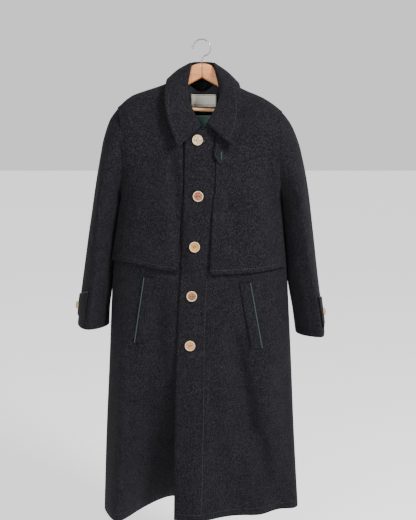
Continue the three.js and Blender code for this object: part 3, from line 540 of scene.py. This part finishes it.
# Cuff straps: pointed tabs of loden, caught in the outer sleeve seam and buttoned back.
# Their upper edge is piped with the grey-green cord of the pockets.
def ribbed_cord(name, tint):
    """Twisted cotton cord, ribbed across by its twist."""
    cord = Finish(name, Roughness=0.8)
    twist = cord.grain(cord.place(), 700, detail=2)
    shade = cord.blend(twist, (*[c * 0.6 for c in tint], 1), (*[min(1, c * 1.5) for c in tint], 1))
    return cord.wear(shade, height=twist, depth=0.0006)


def piped_edge(name, points, radius, finish):
    """A round cord laid along a cloth's edge."""
    path = bpy.data.curves.new(name, "CURVE")
    path.dimensions = "3D"
    path.bevel_depth = radius
    path.bevel_resolution = 2
    path.use_fill_caps = True
    spline = path.splines.new("POLY")
    spline.points.add(len(points) - 1)
    for knot, place in zip(spline.points, points):
        knot.co = (*place, 1)
    cord = new_piece(name, path)
    bpy.ops.object.convert(target="MESH")
    cord.data.materials.append(finish)
    bpy.ops.object.shade_smooth()
    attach(cord, "root")
    return cord


piping = ribbed_cord("piping", (0.008, 0.020, 0.0175))
STRAP_ACROSS = (-0.078, -0.016)
STRAP_STEPS = 14
STRAP_NEAR = 0.006
STRAP_CORD = 0.0013
for side in ("left", "right"):
    strap = soft_piece(f"cuff_strap_{side}", wool, move=press_sleeve(side))
    points = np.array([vertex.co for vertex in strap.data.vertices])
    upper = []
    for across in np.linspace(*STRAP_ACROSS, STRAP_STEPS):
        near = points[np.abs(points[:, 1] - across) < STRAP_NEAR]
        upper.append(Vector(near[near[:, 2].argmax()]) + Vector((0, 0, STRAP_CORD)))
    edge = piped_edge(f"strap_piping_{side}", upper, STRAP_CORD, piping)


# Pockets: slanted openings with a welt of loden whose outer edge is piped with a grey-green cord
# that is sewn into the seam.
for side in ("left", "right"):
    welt = soft_piece(f"pocket_welt_{side}", wool, move=press_front)
    edge = soft_piece(f"pocket_piping_{side}", piping, levels=1, move=press_front)


# Buttons: horn discs with a raised cream rim and a sunken, mottled middle with two holes, sewn
# through the left front; smaller ones of the same kind close the cuff straps. The uppermost
# buttonhole shows its teal thread beside the button.
BUTTON_ROUND = 40
HOLE_ROUND = 12
FRONT_RADIUS = 0.014
CUFF_RADIUS = 0.010
# Widths and places are shares of the radius, and depths and the rounding of the thickness.
RIM_WIDE = 0.13
RIM_SLOPE, RIM_DEEP = 0.08, 0.3
HOLLOW_RINGS, HOLLOW_WIDE, HOLLOW_DEEP = 3, 0.13, 0.02
EDGE_ROUND, EDGE_STEPS = 0.13, 3
HOLE_WIDE, HOLE_AWAY = 0.115, 0.2
CREAM_FROM, CREAM_FADE = 0.79, 0.07


def horn(name, rim, middle, speck):
    """Polished horn, cream at the rim and mottled in the middle; wide tells the two apart."""
    polish = Finish(name, Roughness=0.34)
    wide = polish.add("ShaderNodeAttribute", {"attribute_name": "wide"}, out=2)
    patches = polish.grain(polish.place(), 210, detail=4, roughness=0.7)
    streaks = polish.grain(polish.place(stretch=(1, 1, 3)), 420, detail=2)
    flecked = polish.ramp(patches, [(0.4, (0, 0, 0)), (0.62, (1, 1, 1))])
    inner = polish.blend(flecked, (*middle, 1), (*speck, 1))
    outer = polish.blend(streaks * 0.5, (*rim, 1), (*[c * 0.7 for c in rim], 1))
    return polish.wear(polish.blend(wide, inner, outer), height=streaks, depth=0.0001)


def sewn_button(node, radius, finish, outwards, tilt=(0, 0, 0), slide=(0, 0, 0)):
    """A turned button in its CAD node's place, with its two holes cut through.

    Tilt and slide are how far it hangs over on its thread.
    """
    points = np.array([vertex.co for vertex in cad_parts[node].data.vertices])
    middle = points.mean(axis=0)
    axis = Vector(np.linalg.svd(points - middle)[2][2])
    if axis.dot(Vector(outwards)) < 0:
        axis = -axis
    heights = (points - middle) @ np.array(axis)
    thick = float(heights.max() - heights.min())
    bpy.ops.object.select_all(action="DESELECT")
    bpy.ops.mesh.primitive_cylinder_add(vertices=BUTTON_ROUND, radius=radius, depth=thick)
    disc = bpy.context.active_object
    bpy.ops.object.mode_set(mode="EDIT")
    bpy.ops.mesh.select_mode(type="FACE")
    bpy.ops.mesh.select_all(action="DESELECT")
    bpy.ops.object.mode_set(mode="OBJECT")
    top = max(disc.data.polygons, key=lambda face: face.center.z)
    top.select = True
    bpy.ops.object.mode_set(mode="EDIT")
    bpy.ops.mesh.inset(thickness=radius * RIM_WIDE)
    bpy.ops.mesh.inset(thickness=radius * RIM_SLOPE, depth=-thick * RIM_DEEP)
    for _ in range(HOLLOW_RINGS):
        bpy.ops.mesh.inset(thickness=radius * HOLLOW_WIDE, depth=-thick * HOLLOW_DEEP)
    bpy.ops.object.mode_set(mode="OBJECT")
    rounding = disc.modifiers.new("rounding", "BEVEL")
    rounding.width = thick * EDGE_ROUND
    rounding.segments = EDGE_STEPS
    rounding.limit_method = "ANGLE"
    bpy.ops.object.modifier_apply(modifier=rounding.name)
    for way in (-1, 1):
        bpy.ops.mesh.primitive_cylinder_add(vertices=HOLE_ROUND, radius=radius * HOLE_WIDE,
                                            depth=thick * 3,
                                            location=(way * radius * HOLE_AWAY, 0, 0))
        hole = bpy.context.active_object
        take_up(disc)
        cut = disc.modifiers.new("hole", "BOOLEAN")
        cut.object = hole
        cut.operation = "DIFFERENCE"
        bpy.ops.object.modifier_apply(modifier=cut.name)
        bpy.data.objects.remove(hole, do_unlink=True)
    wide = disc.data.attributes.new("wide", "FLOAT", "POINT")
    for vertex, mark in zip(disc.data.vertices, wide.data):
        reach = math.hypot(vertex.co.x, vertex.co.y) / radius
        mark.value = min(max((reach - CREAM_FROM) / CREAM_FADE, 0), 1)
    facing_way = (axis + Vector(tilt)).normalized()
    face_on = Vector((0, 0, 1)).rotation_difference(facing_way).to_matrix().to_4x4()
    halfway = axis * float((heights.max() + heights.min()) / 2)
    face_on.translation = Vector(middle) + halfway + Vector(slide)
    disc.data.transform(face_on)
    disc.location = (0, 0, 0)
    disc.name = f"{node}_sewn"
    disc.data.materials.append(finish)
    bpy.ops.object.shade_smooth_by_angle(angle=math.radians(38))
    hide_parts(node)
    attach(disc, "root")


CREAM = (0.50, 0.37, 0.22)
FRONT_HORN = [
    ("pale_horn", (0.60, 0.44, 0.26), (0.11, 0.05, 0.022)),
    ("red_brown_horn", (0.26, 0.065, 0.022), (0.08, 0.02, 0.01)),
    ("golden_horn", (0.46, 0.21, 0.05), (0.18, 0.06, 0.015)),
    ("brown_horn", (0.26, 0.115, 0.045), (0.06, 0.024, 0.012)),
    ("tan_horn", (0.44, 0.22, 0.075), (0.20, 0.08, 0.028)),
]
for k, (name, middle, speck) in enumerate(FRONT_HORN):
    sewn_button(f"button_{k + 1}", FRONT_RADIUS, horn(name, CREAM, middle, speck), (0, -1, 0))
cuff_horn = horn("cuff_horn", CREAM, (0.40, 0.20, 0.075), (0.16, 0.07, 0.025))
CUFF_TILT = (0, -0.3, 0)
CUFF_SLIDE = (-0.0021, -0.0105, 0)
for side, way in (("left", 1), ("right", -1)):
    slide = (way * CUFF_SLIDE[0], *CUFF_SLIDE[1:])
    sewn_button(f"cuff_button_{side}", CUFF_RADIUS, cuff_horn, (way, -0.3, 0), CUFF_TILT, slide)
TOP_HOLE = [(-0.012, -0.2675), (0.0065, -0.2675), (0.0065, -0.2705), (-0.012, -0.2705)]
stitches("top_buttonhole", [(front_left, "front", TOP_HOLE)], teal_yarn, pitch=0.0011,
         length=0.0024, turned=True)


# Back lining: green satin over the upper back, with a pleat down its middle for ease. It is sewn
# in at the neck and hangs free below. Creases are rows as on the body.
LINING_CREASES = [
    (0.000, -0.210, 0.004, -0.500, 0.005, -0.004),
    (0.014, -0.210, 0.018, -0.500, 0.008, 0.003),
    (-0.024, -0.220, -0.040, -0.480, 0.010, 0.003),
    (0.050, -0.230, 0.070, -0.460, 0.014, -0.003),
]


def press_lining(points):
    """Creases of the lining, out of it towards -Y."""
    points[:, 1] -= crease_depth(points[:, 0], points[:, 2], LINING_CREASES)
    return points


satin = Finish("satin", Roughness=0.36, Sheen_Weight=0.15)
satin.shader.inputs["Anisotropic"].default_value = 0.4
threads = satin.grain(satin.place(stretch=(1, 1, 0.05)), 2600, detail=1)
cloudy = satin.grain(satin.place(), 22, detail=2)
satin_colour = satin.blend(threads * 0.4 + cloudy * 0.5, (0.085, 0.20, 0.175, 1),
                           (0.20, 0.38, 0.335, 1))
satin.wear(satin_colour, height=threads * 0.3 + cloudy, depth=0.0008)
lining = soft_piece("back_lining", satin.material, levels=3, move=press_lining)


# Neck facing and label: a dark smooth facing under the collar seam, and on it a cream woven
# label, left bare but for a thin border line along its top and bottom.
flannel = Finish("facing", Roughness=0.9, Sheen_Weight=0.15)
twill = flannel.grain(flannel.place(stretch=(1, 1, 0.6), turn=(0, 0.7, 0)), 1100, detail=2)
twilled = flannel.blend(twill, (0.005, 0.006, 0.009, 1), (0.018, 0.019, 0.026, 1))
flannel.wear(twilled, height=twill, depth=0.0005)
facing = soft_piece("neck_facing", flannel.material)

LABEL_HEIGHT = -0.162
INNER_LINE = (0.0128, 0.0007)
OUTER_LINE = (0.0146, 0.0003)
ribbon = Finish("label", Roughness=0.62, Sheen_Weight=0.1)
at = ribbon.place()
split = ribbon.add("ShaderNodeSeparateXYZ", inputs={0: at}, out="Z")
height = ribbon.add("ShaderNodeMath", {"operation": "ABSOLUTE"}, {0: split - LABEL_HEIGHT})
inner_line, outer_line = (
    ribbon.add("ShaderNodeMath", {"operation": "COMPARE"}, {0: height, 1: away, 2: half})
    for away, half in (INNER_LINE, OUTER_LINE))
picks = ribbon.grain(ribbon.place(stretch=(0.2, 0.2, 1)), 3200, detail=1)
cream = ribbon.blend(picks, (0.78, 0.74, 0.64, 1), (0.92, 0.89, 0.80, 1))
lined = ribbon.blend(inner_line * 0.85, cream, (0.12, 0.19, 0.17, 1))
bordered = ribbon.blend(outer_line * 0.8, lined, (0.34, 0.10, 0.09, 1))
ribbon.wear(bordered, height=picks, depth=0.0003)
label = soft_piece("neck_label", ribbon.material)


# Hanger: two arms of lacquered beech joined at the middle, a round trouser bar between them and
# a plated wire hook with a small ball on its tip.
def beech(name, pale, brown, along):
    """Lacquered beech: fine grain lines along the wood and short dark flecks."""
    wood = Finish(name, Roughness=0.42, Coat_Weight=0.25, Coat_Roughness=0.3)
    lines = wood.grain(wood.place(stretch=along), 90, detail=5, roughness=0.6)
    flecks = wood.grain(wood.place(stretch=(along[0] * 2.2, along[1], along[2])), 520, detail=1)
    fleck = wood.ramp(flecks, [(0.62, (0, 0, 0)), (0.7, (1, 1, 1))])
    grain = wood.ramp(lines, [(0.35, (0, 0, 0)), (0.68, (1, 1, 1))])
    grained = wood.blend(grain, (*pale, 1), (*brown, 1))
    colour = wood.blend(fleck * 0.3, grained, (*[c * 0.55 for c in brown], 1))
    return wood.wear(colour, height=lines * 0.6 + flecks * 0.4, depth=0.0003)


wood = beech("beech", pale=(0.54, 0.22, 0.07), brown=(0.40, 0.13, 0.036), along=(0.08, 1, 1))
bar_wood = beech("bar_beech", pale=(0.74, 0.42, 0.20), brown=(0.56, 0.27, 0.11), along=(0.06, 1, 1))
for side in ("left", "right"):
    soft_piece(f"hanger_arm_{side}", wood, held=0.85)
soft_piece("trouser_bar", bar_wood, held=0.9)
plated = Finish("plated_wire", Metallic=1.0, Roughness=0.2)
scuffs = plated.grain(plated.place(), 400, detail=3)
plated.wear(plated.blend(scuffs, (0.20, 0.20, 0.205, 1), (0.36, 0.36, 0.365, 1)),
            roughness=scuffs * 0.25 + 0.12)
soft_piece("hook", plated.material, levels=1, held=0.8)
soft_piece("hook_tip", plated.material, levels=1)


# Studio: pale floor below the hem, pale surroundings, one large soft light high at the front
# right and a weaker one on the left, and a camera at the photograph's place.
FLOOR_SIZE, FLOOR_MIDDLE = 24, (0, 4, -1.62)
bpy.ops.mesh.primitive_plane_add(size=FLOOR_SIZE, location=FLOOR_MIDDLE)
floor = bpy.context.active_object
floor.name = "floor"
paper = Finish("floor_paper", Roughness=0.9)
paper.shader.inputs["Base Color"].default_value = (0.9, 0.9, 0.9, 1)
paper.shader.inputs["Emission Color"].default_value = (1, 1, 1, 1)
paper.shader.inputs["Emission Strength"].default_value = 0.5
floor.data.materials.append(paper.material)

world = bpy.data.worlds.new("pale_room")
world.use_nodes = True
world.node_tree.nodes["Background"].inputs["Color"].default_value = (1, 1, 1, 1)
world.node_tree.nodes["Background"].inputs["Strength"].default_value = 0.95
bpy.context.scene.world = world


LIT_PLACE = (0, 0, -0.6)


def soft_light(name, place, size, power):
    """A round lamp of that size in metres and power in watts, turned to the coat."""
    data = bpy.data.lights.new(name, "AREA")
    data.shape = "DISK"
    data.size = size
    data.energy = power
    light = bpy.data.objects.new(name, data)
    light.location = place
    aim = Vector(LIT_PLACE) - Vector(place)
    light.rotation_euler = aim.to_track_quat("-Z", "Y").to_euler()
    bpy.context.scene.collection.objects.link(light)


soft_light("key", (2.0, -2.0, 1.4), 0.9, 215)
soft_light("fill", (-0.9, -3.0, 0.4), 1.2, 45)

eye = bpy.data.cameras.new("camera")
eye.lens = 64.45
eye.sensor_width = 36
camera = bpy.data.objects.new("camera", eye)
camera.location = (0.017, -2.600, -0.150)
camera.rotation_euler = (math.radians(80), 0, 0)
bpy.context.scene.collection.objects.link(camera)
bpy.context.scene.camera = camera
